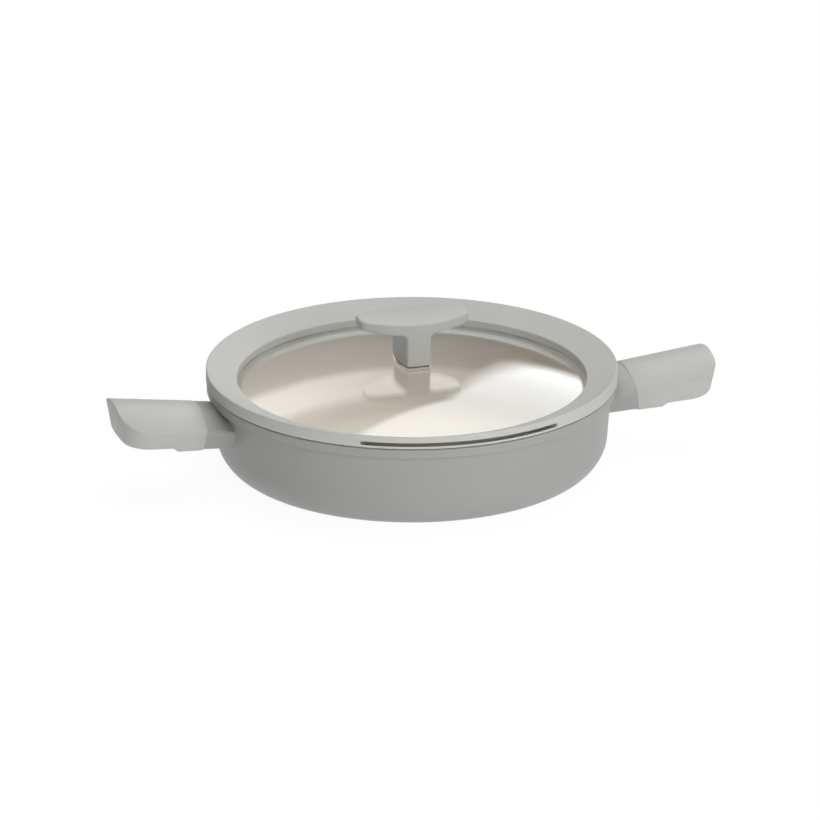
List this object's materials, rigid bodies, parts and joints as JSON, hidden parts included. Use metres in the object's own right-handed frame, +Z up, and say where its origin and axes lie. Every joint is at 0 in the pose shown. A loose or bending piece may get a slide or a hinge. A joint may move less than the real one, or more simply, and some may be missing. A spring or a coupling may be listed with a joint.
{
  "type": "saute pan with lid",
  "caption": "Round cast saute pan with side grips and a domed glass lid in a wide silicone ring with a strainer slot.",
  "frame": {"origin": "centre of the base, on the surface that the pan stands on", "axes": "+Z up, +X along the right grip, -Y towards the lid's strainer slot"},
  "size_m": [0.4364, 0.29, 0.1135],
  "materials": {
    "pan_coating": "satin sage-grey ceramic coating outside, cream ceramic coating inside",
    "silicone": "matte silicone, sage grey",
    "soft_grip": "matte soft-touch moulding, sage grey",
    "glass": "clear tempered glass",
    "steel": "brushed",
    "brass": "turned",
    "seal": "matte"
  },
  "bodies": {
    "pan": {"pan_body": "pan_coating", "base_plate": "steel", "grip_left": "soft_grip", "grip_right": "soft_grip", "grip_screws": "steel", "grip_washers": "steel"},
    "lid": {"lid_glass": "glass", "lid_ring": "silicone", "knob_body": "soft_grip", "knob_insert": "brass", "knob_screw": "steel", "knob_washer": "steel", "knob_seal_upper": "seal", "knob_seal_lower": "seal"}
  },
  "joints": [
    {"name": "lid_lift", "type": "slide", "parent": "pan", "child": "lid", "axis": [0, 0, 1], "range_m": [0, 0.15]}
  ]
}
